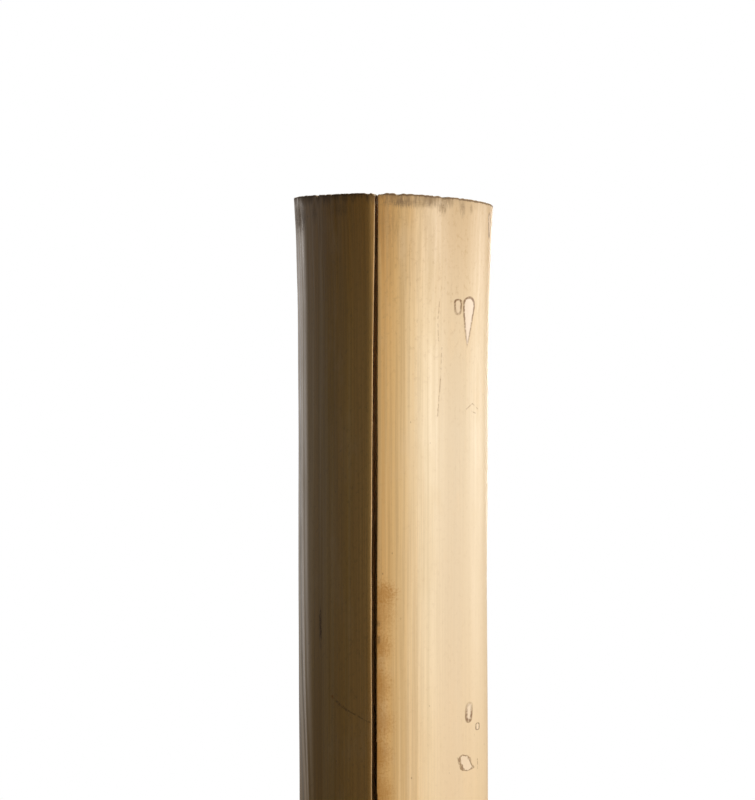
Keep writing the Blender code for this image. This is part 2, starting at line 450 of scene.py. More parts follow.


# The skin's finish. Dried bamboo skin is smooth and satin: golden beside the crack, creamy where it has
# bleached, streaked along its fibres, with small flakes and scratches, and dirty at its rim. Painted light
# is mixed in too: brighter gold by the crack, deeper gold in the flattened side's shade, painted
# highlights and shade on the corner's ridges, and a painted shadow along the sawn edge.
def feed(tree, node, inputs):
    """Links the inputs of a node, or sets them where a plain value is given."""
    for name, value in inputs.items():
        socket = node.inputs[name]
        if isinstance(value, bpy.types.NodeSocket):
            tree.links.new(value, socket)
        elif socket.type == "RGBA":
            socket.default_value = (*value, 1.0)
        else:
            socket.default_value = value


def add_node(tree, kind, inputs=None, **settings):
    node = tree.nodes.new(kind)
    for name, value in settings.items():
        setattr(node, name, value)
    feed(tree, node, inputs or {})
    return node


def calculate(tree, operation, *values):
    return add_node(tree, "ShaderNodeMath", dict(enumerate(values)), operation=operation).outputs[0]


def calculation(operation):
    """A function that adds one kind of calculation to a tree."""
    return lambda tree, *values: calculate(tree, operation, *values)


add, subtract, divide = calculation("ADD"), calculation("SUBTRACT"), calculation("DIVIDE")
multiply, multiply_add = calculation("MULTIPLY"), calculation("MULTIPLY_ADD")
smaller, larger = calculation("MINIMUM"), calculation("MAXIMUM")


def calculate_vector(tree, operation, *values):
    return add_node(tree, "ShaderNodeVectorMath", dict(enumerate(values)), operation=operation).outputs[0]


def measure_vector(tree, operation, *values):
    """A plain number taken from vectors: their dot product or length."""
    return add_node(tree, "ShaderNodeVectorMath", dict(enumerate(values)), operation=operation).outputs[1]


def rise(tree, value, start, end, low=0.0, high=1.0):
    """low where the value is at start, high where it is at end, and a smooth change between them."""
    inputs = {"Value": value, "From Min": start, "From Max": end, "To Min": low, "To Max": high}
    return add_node(tree, "ShaderNodeMapRange", inputs, interpolation_type="SMOOTHSTEP").outputs[0]


def band_between(tree, value, edges):
    """1 between the middle two edges, falling to 0 at the outer two."""
    return multiply(tree, rise(tree, value, edges[0], edges[1]), rise(tree, value, edges[3], edges[2]))


def mix_colours(tree, share, first, second, blend="MIX"):
    inputs = {0: share, 6: first, 7: second}
    return add_node(tree, "ShaderNodeMix", inputs, data_type="RGBA", blend_type=blend).outputs[2]


def tint(tree, colour, paint, value, *change):
    """The colour painted over as much as the value says, by a smooth change as in rise."""
    return mix_colours(tree, rise(tree, value, *change), colour, paint)


def noise_over(tree, place, scale, detail=2.0, roughness=0.5):
    inputs = {"Vector": place, "Scale": scale, "Detail": detail, "Roughness": roughness}
    return add_node(tree, "ShaderNodeTexNoise", inputs).outputs[0]


def wavering(tree, place, scale, detail=3.0, roughness=0.5):
    """Noise about zero."""
    return subtract(tree, noise_over(tree, place, scale, detail, roughness), 0.5)


def nearest_dot(tree, place, scale):
    """How far the nearest of many scattered dots is."""
    return add_node(tree, "ShaderNodeTexVoronoi", {"Vector": place, "Scale": scale}).outputs["Distance"]


def stretched(tree, place, along):
    """The place with its height squeezed, so that a pattern on it is drawn out along the stem."""
    return calculate_vector(tree, "MULTIPLY", place, (1.0, 1.0, along))


def colour_along(tree, value, stops):
    """The colour at a distance, from (distance, colour) stops that start at 0."""
    last = stops[-1][0]
    node = add_node(tree, "ShaderNodeValToRGB", {"Fac": divide(tree, value, last)})
    marks = node.color_ramp.elements
    while len(marks) < len(stops):
        marks.new(0.5)
    for mark, (distance, colour) in zip(marks, stops):
        mark.position = distance / last
        mark.color = (*colour, 1.0)
    return node.outputs["Color"]


def new_group(name, vectors, numbers, outputs):
    """A node group with its named sockets, and its inputs as they are inside."""
    group = bpy.data.node_groups.new(name, "ShaderNodeTree")
    sockets = [("INPUT", "Vector", vectors), ("INPUT", "Float", numbers), ("OUTPUT", "Float", outputs)]
    for side, kind, labels in sockets:
        for label in labels:
            group.interface.new_socket(label, in_out=side, socket_type="NodeSocket" + kind)
    return group, group.nodes.new("NodeGroupInput").outputs[:len(vectors + numbers)]


def finish_group(group, *values):
    """Puts out the values, in the order of the group's outputs."""
    feed(group, group.nodes.new("NodeGroupOutput"), dict(enumerate(values)))
    return group


def use_group(tree, group, inputs):
    return add_node(tree, "ShaderNodeGroup", inputs, node_tree=group).outputs


def new_material(name):
    """A material, its node tree and the place on the object in it."""
    material = bpy.data.materials.new(name)
    material.use_nodes = True
    tree = material.node_tree
    return material, tree, add_node(tree, "ShaderNodeTexCoord").outputs["Object"]


def finish_material(material, colour, roughness, height, strength, depth):
    """Feeds a material's colour, roughness and relief to its shader. The relief's depth is in millimetres."""
    tree = material.node_tree
    relief = {"Strength": strength, "Distance": depth * MM, "Height": height}
    normal = add_node(tree, "ShaderNodeBump", relief).outputs["Normal"]
    finish = {"Base Color": colour, "Roughness": roughness, "Normal": normal}
    feed(tree, tree.nodes["Principled BSDF"], finish)
    return material


def make_grain_group():
    """Streaks along the fibres: fine ones, and broad bands about four times as wide."""
    numbers, outputs = ["Stretch", "Fineness"], ["Fine Streaks", "Broad Bands"]
    group, (place, stretch, fineness) = new_group("lengthwise_grain", ["Place"], numbers, outputs)
    squeeze = add_node(group, "ShaderNodeCombineXYZ", {"X": 1.0, "Y": 1.0, "Z": stretch}).outputs[0]
    drawn_out = calculate_vector(group, "MULTIPLY", place, squeeze)
    fine = noise_over(group, drawn_out, fineness, 3.0, 0.6)
    broad = noise_over(group, drawn_out, multiply(group, fineness, 0.26))
    return finish_group(group, fine, broad)


def make_flake_group():
    """A place where the skin flaked: its thin dark outline, and the paler skin inside."""
    numbers = ["Half Width", "Half Height", "Lean", "Narrowing", "Wobble", "Line", "Dark End"]
    group, given = new_group("flake", ["Place", "Centre"], numbers, ["Outline", "Inside"])
    place, centre, half_width, half_height, lean, narrowing, wobble, line, dark_end = given
    offset = calculate_vector(group, "SUBTRACT", place, centre)
    aside, above = add_node(group, "ShaderNodeSeparateXYZ", {0: offset}).outputs[0:2]
    up = divide(group, above, half_height)
    leaned = multiply_add(group, above, lean, aside)
    below_top = multiply_add(group, up, -0.5, 0.5)
    narrowed = subtract(group, 1.0, multiply(group, below_top, narrowing))
    width = multiply(group, half_width, larger(group, narrowed, 0.03))
    across = divide(group, leaned, width)
    boxy = calculate(group, "POWER", calculate(group, "ABSOLUTE", up), 5.0)
    reach = calculate(group, "SQRT", multiply_add(group, across, across, boxy))
    reach = multiply_add(group, wavering(group, place, 0.45), wobble, reach)
    from_edge = calculate(group, "ABSOLUTE", subtract(group, reach, 1.0))
    line = divide(group, line, larger(group, width, 1.2))
    outline = rise(group, divide(group, from_edge, line), 1.0, 0.35)
    patchy = rise(group, noise_over(group, place, 0.9), 0.32, 0.56, 0.45, 1.0)
    toned = multiply_add(group, up, dark_end, 0.85)
    strength = multiply(group, patchy, smaller(group, larger(group, toned, 0.3), 1.0))
    return finish_group(group, multiply(group, outline, strength), rise(group, reach, 1.0, 0.86))


def make_stain_group():
    """A soft ragged patch of dirt or discoloration, hatched along and across the fibres."""
    vectors, numbers = ["Place", "Centre", "Grain"], ["Half Width", "Half Height"]
    group, given = new_group("soft_stain", vectors, numbers, ["Mask"])
    place, centre, grain, half_width, half_height = given
    spread = {"X": half_width, "Y": half_height, "Z": 1.0}
    size = add_node(group, "ShaderNodeCombineXYZ", spread).outputs[0]
    offset = calculate_vector(group, "SUBTRACT", place, centre)
    reach = measure_vector(group, "LENGTH", calculate_vector(group, "DIVIDE", offset, size))
    drawn_out = calculate_vector(group, "MULTIPLY", place, grain)
    ragged = multiply_add(group, wavering(group, drawn_out, 1.0, 4.0, 0.65), 2.2, reach)
    upright = noise_over(group, calculate_vector(group, "MULTIPLY", place, (2.6, 0.35, 1.0)), 1.0, 3.0)
    level = noise_over(group, calculate_vector(group, "MULTIPLY", place, (0.5, 3.2, 1.0)), 1.0, 3.0)
    hatched = rise(group, larger(group, upright, level), 0.48, 0.66, 0.55, 1.0)
    return finish_group(group, multiply(group, rise(group, ragged, 1.1, 0.15), hatched))


def make_scratch_group():
    """A thin broken scratch between two places."""
    group, given = new_group("thin_scratch", ["Place", "Start", "End"], ["Width"], ["Mask"])
    place, start, end, width = given
    run = calculate_vector(group, "SUBTRACT", end, start)
    offset = calculate_vector(group, "SUBTRACT", place, start)
    along = measure_vector(group, "DOT_PRODUCT", offset, run)
    whole = measure_vector(group, "DOT_PRODUCT", run, run)
    share = smaller(group, larger(group, divide(group, along, whole), 0.0), 1.0)
    nearest = add_node(group, "ShaderNodeVectorMath", {0: run, "Scale": share}, operation="SCALE").outputs[0]
    distance = measure_vector(group, "LENGTH", calculate_vector(group, "SUBTRACT", offset, nearest))
    distance = add(group, distance, multiply(group, wavering(group, place, 0.6), width))
    line = rise(group, divide(group, distance, width), 1.0, 0.3)
    broken = rise(group, noise_over(group, place, 0.5), 0.40, 0.55, 0.15, 1.0)
    return finish_group(group, multiply(group, line, broken))


GRAIN = make_grain_group()
FLAKE = make_flake_group()
STAIN = make_stain_group()
SCRATCH = make_scratch_group()

# The skin's colour by its distance right of the crack, round the stem and back to the crack.
# Partly painted light: brighter gold beside the crack stands in for lamp light, deeper gold on the flattened
# side for warm shade.
SKIN_AND_PAINTED_LIGHT_COLOURS = [
    (0.0, (0.85, 0.50, 0.18)),
    (4.0, (0.93, 0.57, 0.23)),
    (7.0, (0.96, 0.63, 0.285)),
    (9.5, (0.97, 0.70, 0.375)),
    (15.0, (0.95, 0.715, 0.42)),
    (22.0, (0.87, 0.675, 0.41)),
    (30.0, (0.82, 0.645, 0.43)),
    (36.0, (0.81, 0.645, 0.445)),
    (50.0, (0.75, 0.58, 0.36)),
    (62.0, (0.82, 0.64, 0.42)),
    (100.0, (0.84, 0.64, 0.40)),
    (150.0, (0.82, 0.60, 0.34)),
    (195.0, (0.78, 0.60, 0.38)),
    (205.0, (0.77, 0.545, 0.26)),
    (210.0, (0.64, 0.405, 0.14)),
    (217.0, (0.575, 0.345, 0.08)),
    (230.0, (0.745, 0.465, 0.14)),
    (242.0, (0.91, 0.565, 0.205)),
    (AROUND, (0.92, 0.565, 0.205)),
]

# What the skin's colour is multiplied by at a height: it is yellower low down and browner at the top.
HEIGHT_TINTS = [
    (0.0, (0.86, 0.78, 0.66)),
    (50.0, (0.88, 0.80, 0.68)),
    (105.0, (1.0, 0.935, 0.85)),
    (190.0, (1.0, 0.98, 0.955)),
    (262.0, (1.0, 1.0, 1.0)),
    (310.0, (0.97, 0.93, 0.86)),
    (340.0, (0.89, 0.81, 0.70)),
    (362.0, (0.80, 0.70, 0.55)),
]

# Marks on the skin, by their distance right of the crack and their height. A flake has its centre, half
# size, lean, narrowing to its foot, wobble, width of its outline, how much darker the outline's upper end
# is, and how pale its inside is. A scratch runs between two places, with a half width and a strength. A
# stain has its centre, half size and strength.
FLAKES = [
    ((41.8, 308.2), (4.3, 9.8), -0.06, 0.90, 0.30, 0.75, 0.45, 0.60),
    ((35.6, 314.0), (1.9, 3.0), 0.0, 0.25, 0.30, 0.75, 0.30, 0.15),
    ((43.0, 146.5), (1.9, 3.7), -0.10, 0.15, 0.35, 1.15, -0.60, 0.30),
    ((49.6, 139.9), (1.5, 1.4), 0.0, 0.0, 0.25, 0.75, 0.0, 0.15),
    ((40.6, 125.8), (2.9, 3.2), 0.55, -0.3, 1.3, 1.1, 0.0, 0.30),
    ((59.5, 349.0), (2.0, 4.8), 0.10, 0.60, 0.60, 0.90, -0.2, 0.2),
    ((118.0, 212.0), (2.4, 4.4), 0.12, 0.30, 0.45, 0.60, 0.3, 0.3),
    ((171.0, 287.0), (2.4, 3.6), 0.10, 0.20, 0.40, 0.55, -0.3, 0.3),
]
SCRATCHES = [
    ((26.4, 317.0), (25.6, 309.0), 0.35, 0.45),
    ((25.6, 307.0), (26.0, 300.0), 0.35, 0.40),
    ((27.6, 297.0), (27.0, 284.0), 0.35, 0.40),
    ((27.0, 284.0), (25.7, 269.2), 0.40, 0.50),
    ((49.3, 126.2), (49.3, 122.6), 0.55, 0.65),
    ((41.0, 272.0), (45.0, 274.2), 0.35, 0.50),
    ((45.0, 274.2), (49.5, 272.0), 0.35, 0.50),
    ((44.0, 271.0), (47.5, 270.2), 0.35, 0.50),
    ((226.0, 151.5), (235.0, 147.5), 0.9, 0.60),
    ((234.0, 148.0), (249.0, 144.0), 0.5, 0.60),
    ((96.0, 180.0), (99.0, 141.0), 0.28, 0.50),
    ((140.0, 262.0), (137.5, 236.0), 0.30, 0.50),
]
STAINS = [
    ((4.2, 197.0), (6.0, 5.5), 0.75),
    ((3.2, 190.0), (6.0, 14.0), 0.55),
    ((3.0, 175.0), (5.0, 7.0), 0.72),
    ((2.8, 159.0), (5.0, 10.0), 0.66),
    ((3.2, 144.0), (5.4, 8.0), 0.70),
    ((2.8, 131.0), (5.0, 8.0), 0.75),
    ((3.2, 115.0), (5.4, 10.0), 0.70),
    ((1.6, 150.0), (1.9, 66.0), 0.60),
    ((249.6, 150.0), (3.4, 62.0), 0.40),
    ((224.5, 152.6), (1.3, 1.3), 0.95),
    ((88.0, 230.0), (7.0, 12.0), 0.18),
    ((160.0, 120.0), (9.0, 16.0), 0.22),
]
DARK_STREAKS = [
    ((216.0, 181.3), (1.25, 10.5), 1.0),
    ((1.9, 184.5), (0.8, 1.8), 0.70),
    ((2.0, 178.0), (0.9, 2.6), 0.80),
    ((133.0, 300.0), (0.6, 6.0), 0.60),
]
RIM_SMEARS = [
    ((27.0, 354.4), (2.6, 3.6), 0.60),
    ((37.0, 354.4), (1.9, 4.0), 0.60),
    ((42.0, 354.6), (1.2, 2.6), 0.60),
    ((10.3, 356.0), (3.6, 2.2), 0.65),
    ((15.0, 356.0), (17.0, 2.6), 0.50),
    ((3.0, 348.0), (7.0, 14.0), 0.22),
    ((201.0, 353.0), (8.0, 8.0), 0.80),
    ((206.0, 352.0), (2.2, 7.5), 0.60),
    ((214.0, 354.0), (2.4, 5.5), 0.55),
    ((232.0, 354.5), (7.0, 4.0), 0.50),
    ((96.0, 354.0), (6.0, 4.5), 0.55),
    ((150.0, 353.0), (9.0, 5.0), 0.55),
]

# The node's dark sheath scar, the dusty bloom below it and the furrow above it, as heights between which
# each fades in and out.
SHEATH_SCAR = (54.8, 56.0, 57.8, 59.4)
BLOOM = (34.0, 52.0, 54.5, 55.6)
FURROW = (58.0, 59.4, 60.8, 62.8)

STAIN_COLOUR = (0.56, 0.24, 0.035)
SMEAR_COLOUR = (0.21, 0.125, 0.06)
STREAK_COLOUR = (0.11, 0.045, 0.010)
BAND_COLOUR = (0.76, 0.46, 0.17)
PALE_BAND_COLOUR = (0.95, 0.68, 0.34)
BLOTCH_COLOUR = (0.86, 0.62, 0.36)
MOTTLE_COLOUR = (0.50, 0.30, 0.12)
# A painted shade for the left corner's grooves, and a painted highlight for its crests.
GROOVE_SHADE_COLOUR = (0.30, 0.21, 0.13)
CREST_HIGHLIGHT_COLOUR = (0.88, 0.74, 0.54)
# A painted shadow for the line along the sawn edge.
CUT_EDGE_SHADOW_COLOUR = (0.15, 0.085, 0.04)
SHEATH_SCAR_COLOUR = (0.25, 0.145, 0.07)
BLOOM_COLOUR = (0.66, 0.60, 0.50)
FURROW_COLOUR = (0.42, 0.26, 0.12)
OUTLINE_COLOUR = (0.25, 0.135, 0.055)
FLAKED_COLOUR = (0.93, 0.78, 0.66)
SCRATCH_COLOUR = (0.33, 0.18, 0.07)


def make_skin_material():
    material, tree, place = new_material("bamboo_skin")
    unrolled = add_node(tree, "ShaderNodeUVMap", uv_map="around_and_up").outputs["UV"]
    marked = calculate_vector(tree, "MULTIPLY", unrolled, (1000.0, 1000.0, 0.0))
    around, up = add_node(tree, "ShaderNodeSeparateXYZ", {0: marked}).outputs[0:2]
    grain = use_group(tree, GRAIN, {"Place": place, "Stretch": 0.010, "Fineness": 1000.0})
    fine, broad = grain["Fine Streaks"], grain["Broad Bands"]

    # The ground colour, with golden bands beside the crack and on the flattened side.
    # Beside the crack and on the flattened side, this colour is partly painted light and shade.
    colour = colour_along(tree, around, SKIN_AND_PAINTED_LIGHT_COLOURS)
    colour = mix_colours(tree, 1.0, colour, colour_along(tree, up, HEIGHT_TINTS), "MULTIPLY")
    banded = add(tree, rise(tree, around, 26.0, 8.0), rise(tree, around, 130.0, 225.0))
    band = multiply(tree, banded, rise(tree, broad, 0.42, 0.62, 0.0, 0.48))
    colour = mix_colours(tree, band, colour, BAND_COLOUR)
    pale_band = multiply(tree, banded, rise(tree, broad, 0.46, 0.34, 0.0, 0.30))
    colour = mix_colours(tree, pale_band, colour, PALE_BAND_COLOUR)
    bleached = multiply(tree, rise(tree, around, 12.0, 30.0), rise(tree, around, 75.0, 55.0))
    streaked = mix_colours(tree, 1.0, colour, rise(tree, fine, 0.32, 0.66, 0.88, 1.05), "MULTIPLY")
    colour = mix_colours(tree, multiply(tree, bleached, 0.85), streaked, colour)
    blotches = noise_over(tree, stretched(tree, place, 0.4), 70.0, 4.0, 0.6)
    colour = tint(tree, colour, BLOTCH_COLOUR, blotches, 0.52, 0.72, 0.0, 0.30)
    # Painted highlights pale the corner's ridge crests, and painted shade darkens the grooves beside them.
    ridge_light = add_node(tree, "ShaderNodeAttribute", attribute_name="ridge_highlight_and_shade").outputs["Fac"]
    colour = tint(tree, colour, GROOVE_SHADE_COLOUR, ridge_light, -1.0, -0.1, 0.55, 0.0)
    colour = tint(tree, colour, CREST_HIGHLIGHT_COLOUR, ridge_light, 0.2, 0.9, 0.0, 0.5)

    # Sparse dark specks.
    cells = add_node(tree, "ShaderNodeTexVoronoi", {"Vector": stretched(tree, place, 0.6), "Scale": 260.0})
    chance = add_node(tree, "ShaderNodeSeparateColor", {0: cells.outputs["Color"]}).outputs[0]
    picked = rise(tree, chance, 0.76, 0.89)
    speck = multiply(tree, picked, rise(tree, cells.outputs["Distance"], 0.11, 0.04))
    colour = mix_colours(tree, multiply(tree, speck, 0.55), colour, SCRATCH_COLOUR)

    # A fine brown mottle, which thickens towards the top.
    mottle = noise_over(tree, stretched(tree, place, 0.7), 620.0, 5.0, 0.7)
    near_top = rise(tree, up, 250.0, 340.0, 0.14, 0.42)
    near_corner = rise(tree, around, 200.0, 212.0, 0.0, 0.5)
    mottling = larger(tree, near_top, near_corner)
    mottled = multiply(tree, rise(tree, mottle, 0.50, 0.74), mottling)
    colour = mix_colours(tree, mottled, colour, MOTTLE_COLOUR)

    # Flakes, scratches and stains.
    sunk = 0.0
    for centre, size, lean, narrowing, wobble, line, dark_end, pale in FLAKES:
        inputs = {"Place": marked, "Centre": (*centre, 0.0), "Half Width": size[0], "Half Height": size[1]}
        inputs |= {"Lean": lean, "Narrowing": narrowing, "Wobble": wobble, "Line": line, "Dark End": dark_end}
        found = use_group(tree, FLAKE, inputs)
        paler = multiply(tree, found["Inside"], pale)
        colour = mix_colours(tree, paler, colour, FLAKED_COLOUR)
        colour = mix_colours(tree, found["Outline"], colour, OUTLINE_COLOUR)
        sunk = multiply_add(tree, found["Inside"], 0.5, sunk)
    for start, end, width, strength in SCRATCHES:
        inputs = {"Place": marked, "Start": (*start, 0.0), "End": (*end, 0.0), "Width": width}
        scratch = use_group(tree, SCRATCH, inputs)["Mask"]
        colour = mix_colours(tree, multiply(tree, scratch, strength), colour, SCRATCH_COLOUR)
        sunk = multiply_add(tree, scratch, 0.6, sunk)
    dirt_and_edge_shadow = 0.0
    kinds = [(STAINS, STAIN_COLOUR, (1.1, 1.0, 1.0)), (RIM_SMEARS, SMEAR_COLOUR, (2.2, 0.35, 1.0))]
    kinds += [(DARK_STREAKS, STREAK_COLOUR, (1.6, 0.3, 1.0))]
    for marks, stain_colour, stain_grain in kinds:
        for centre, size, strength in marks:
            inputs = {"Place": marked, "Centre": (*centre, 0.0), "Grain": stain_grain}
            inputs |= {"Half Width": size[0], "Half Height": size[1]}
            stain = multiply(tree, use_group(tree, STAIN, inputs)["Mask"], strength)
            colour = mix_colours(tree, stain, colour, stain_colour)
            dirt_and_edge_shadow = larger(tree, dirt_and_edge_shadow, stain)

    # The dirty rim under the cut, and the dark line right at its edge, a painted shadow of the sawn edge.
    x, _, z = add_node(tree, "ShaderNodeSeparateXYZ", {0: place}).outputs
    cut = multiply_add(tree, x, -math.tan(math.radians(TOP_TILT)), HEIGHT * MM)
    below_cut = multiply(tree, subtract(tree, cut, z), 1000.0)
    smudges = noise_over(tree, stretched(tree, place, 0.20), 480.0, 4.0, 0.65)
    ragged = multiply_add(tree, subtract(tree, smudges, 0.5), -14.0, below_cut)
    by_the_crack = rise(tree, around, 40.0, 28.0, 0.15, 0.85)
    dirty = add(tree, by_the_crack, rise(tree, around, 62.0, 210.0, 0.0, 0.85))
    grime = multiply(tree, rise(tree, ragged, 5.5, 0.0, 0.0, 0.75), dirty)
    colour = mix_colours(tree, grime, colour, SMEAR_COLOUR)
    edge_shadow = rise(tree, multiply_add(tree, smudges, -1.6, below_cut), 0.5, -0.1, 0.0, 0.85)
    colour = mix_colours(tree, edge_shadow, colour, CUT_EDGE_SHADOW_COLOUR)
    dirt_and_edge_shadow = larger(tree, larger(tree, dirt_and_edge_shadow, grime), edge_shadow)

    # The node: a dark line under the sheath scar, and a dusty bloom below it.
    scar = band_between(tree, up, SHEATH_SCAR)
    scar_line = multiply(tree, scar, rise(tree, smudges, 0.3, 0.6, 0.45, 0.95))
    colour = mix_colours(tree, scar_line, colour, SHEATH_SCAR_COLOUR)
    bloom = band_between(tree, up, BLOOM)
    dusty = multiply(tree, bloom, rise(tree, blotches, 0.35, 0.6, 0.15, 0.6))
    colour = mix_colours(tree, dusty, colour, BLOOM_COLOUR)
    furrow = band_between(tree, up, FURROW)
    colour = mix_colours(tree, multiply(tree, furrow, 0.45), colour, FURROW_COLOUR)
    foot_dirt = rise(tree, multiply_add(tree, smudges, 10.0, up), 12.5, 5.0, 0.0, 0.5)
    colour = mix_colours(tree, foot_dirt, colour, SMEAR_COLOUR)
    dirt_and_edge_shadow = larger(tree, larger(tree, dirt_and_edge_shadow, scar), foot_dirt)

    streaky, worn = rise(tree, fine, 0.3, 0.7, 0.49, 0.40), rise(tree, blotches, 0.4, 0.7, 0.0, 0.07)
    # Dirt, the node's scar and the painted edge shadow make the skin rougher.
    roughness = multiply_add(tree, dirt_and_edge_shadow, 0.35, add(tree, streaky, worn))
    height = multiply_add(tree, broad, 0.4, fine)
    height = subtract(tree, multiply_add(tree, speck, -0.5, height), sunk)
    return finish_material(material, colour, roughness, height, 0.35, 0.12)


# The sawn ends. The cut shows the wall's fibre bundles as brown dots in pale tan pith, crowded together
# towards the skin, with the saw's fine parallel marks across them.
PITH_COLOUR = (0.80, 0.62, 0.38)
OUTER_WALL_COLOUR = (0.58, 0.38, 0.18)
BUNDLE_COLOUR = (0.27, 0.155, 0.07)
GREYED_COLOUR = (0.36, 0.26, 0.16)
RIND_COLOUR = (0.20, 0.12, 0.06)


def make_fibre_ends_group():
    """The dots of cut fibre bundles, by how deep in the wall they are: 0 at the skin, 1 at its inside."""
    group, given = new_group("fibre_ends", ["Place"], ["Depth", "Fineness"], ["Dots", "Crowding"])
    place, depth, fineness = given
    flat = stretched(group, place, 0.15)
    big_dots = rise(group, nearest_dot(group, flat, fineness), 0.40, 0.26)
    small_dots = rise(group, nearest_dot(group, flat, multiply(group, fineness, 2.1)), 0.50, 0.30)
    outer = rise(group, depth, 0.45, 0.12)
    inner_dots = multiply(group, big_dots, subtract(group, 1.0, outer))
    dots = multiply_add(group, small_dots, outer, inner_dots)
    return finish_group(group, dots, rise(group, depth, 0.55, 0.0))


FIBRE_ENDS = make_fibre_ends_group()


def make_sawn_material():
    material, tree, place = new_material("sawn_end")
    depth = add_node(tree, "ShaderNodeAttribute", attribute_name="wall_share").outputs["Fac"]
    ends = use_group(tree, FIBRE_ENDS, {"Place": place, "Depth": depth, "Fineness": 1250.0})
    mottle = noise_over(tree, place, 160.0, 4.0, 0.6)
    colour = mix_colours(tree, ends["Crowding"], PITH_COLOUR, OUTER_WALL_COLOUR)
    colour = mix_colours(tree, multiply(tree, ends["Dots"], 0.62), colour, BUNDLE_COLOUR)
    colour = tint(tree, colour, GREYED_COLOUR, mottle, 0.45, 0.70, 0.0, 0.55)
    waves = {"Vector": place, "Scale": 260.0, "Distortion": 2.5, "Detail": 2.0, "Detail Scale": 0.6}
    saw = add_node(tree, "ShaderNodeTexWave", waves, bands_direction="DIAGONAL").outputs["Fac"]
    colour = mix_colours(tree, 1.0, colour, rise(tree, saw, 0.1, 0.9, 0.90, 1.04), "MULTIPLY")
    colour = tint(tree, colour, RIND_COLOUR, depth, 0.035, 0.0, 0.0, 0.8)
    roughness = rise(tree, mottle, 0.3, 0.7, 0.68, 0.88)
    height = multiply_add(tree, ends["Dots"], 0.8, multiply_add(tree, saw, 0.7, mottle))
    return finish_material(material, colour, roughness, height, 0.5, 0.18)


# The lining. Inside, the hollow and the partition are covered by a thin papery skin of pith, pale and
# finely wrinkled, with brown water stains.
LINING_PALE = (0.80, 0.66, 0.42)
LINING_TAN = (0.68, 0.50, 0.28)
WATER_STAIN_COLOUR = (0.42, 0.27, 0.13)


def make_lining_material():
    material, tree, place = new_material("papery_lining")
    grain = use_group(tree, GRAIN, {"Place": place, "Stretch": 0.05, "Fineness": 620.0})
    wrinkles = noise_over(tree, stretched(tree, place, 2.6), 240.0, 4.0, 0.6)
    cloudy = noise_over(tree, place, 45.0, 4.0, 0.6)
    colour = mix_colours(tree, rise(tree, cloudy, 0.35, 0.65), LINING_PALE, LINING_TAN)
    colour = tint(tree, colour, WATER_STAIN_COLOUR, cloudy, 0.62, 0.74, 0.0, 0.55)
    streaks = rise(tree, grain["Fine Streaks"], 0.3, 0.7, 0.86, 1.05)
    colour = mix_colours(tree, 1.0, colour, streaks, "MULTIPLY")
    roughness = rise(tree, wrinkles, 0.3, 0.7, 0.62, 0.82)
    height = multiply_add(tree, wrinkles, 1.4, grain["Broad Bands"])
    return finish_material(material, colour, roughness, height, 0.55, 0.25)


# The split wall. The crack's two faces are bare wood, torn along the fibres as the stem dried: brown,
# stringy and rough.
SPLIT_TAN = (0.74, 0.50, 0.26)
SPLIT_BROWN = (0.54, 0.33, 0.15)
PALE_FIBRE_COLOUR = (0.80, 0.62, 0.38)
LIP_COLOUR = (0.60, 0.42, 0.20)


def make_split_material():
    material, tree, place = new_material("split_wall")
    depth = add_node(tree, "ShaderNodeAttribute", attribute_name="wall_share").outputs["Fac"]
    grain = use_group(tree, GRAIN, {"Place": place, "Stretch": 0.03, "Fineness": 1500.0})
    fine, broad = grain["Fine Streaks"], grain["Broad Bands"]
    colour = mix_colours(tree, rise(tree, broad, 0.4, 0.6), SPLIT_TAN, SPLIT_BROWN)
    colour = tint(tree, colour, PALE_FIBRE_COLOUR, fine, 0.5, 0.7, 0.0, 0.5)
    colour = tint(tree, colour, LIP_COLOUR, depth, 0.14, 0.0, 0.0, 0.5)
    return finish_material(material, colour, rise(tree, fine, 0.3, 0.7, 0.70, 0.90), fine, 0.8, 0.3)


# The stem's materials, in the order of SURFACES.
for make_material in (make_skin_material, make_sawn_material, make_lining_material, make_split_material):
    stem.data.materials.append(make_material())

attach(stem, "root")
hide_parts("cane")


# The trimmed branches. Two branches grew from the node in the flattened side and were cut off close to
# the stem: each left a short stub with bark round it and a pithy hollow in its cut. A stub flares to its
# root, and its cut's edge is a little rounded.
BRANCH_RISE = 28.0
BRANCH_REACH = 44.8
STUB_LENGTH = 7.5
STUB_FLARE = 1.3
STUB_EDGE = 0.35
STUB_ROUGHNESS = 0.16
OUT_OF_ROUND = 0.05
CUT_MATERIAL = 1
BARK_TAN = (0.62, 0.43, 0.20)
BARK_BROWN = (0.40, 0.25, 0.11)
DRIED_PITH_PALE = (0.52, 0.38, 0.22)
DRIED_PITH_BROWN = (0.33, 0.22, 0.12)

# The rings of a branch's cut from its edge inwards, as (width, a share of the cut's radius, and rise).
CUT_RINGS = [(0.22, 0.0), (0.20, -0.12), (0.16, 0.10), (0.10, -0.15), (0.06, -1.3), (0.10, -0.3)]


def top_face(shape):
    return max(shape.faces, key=lambda face: face.calc_center_median().z)


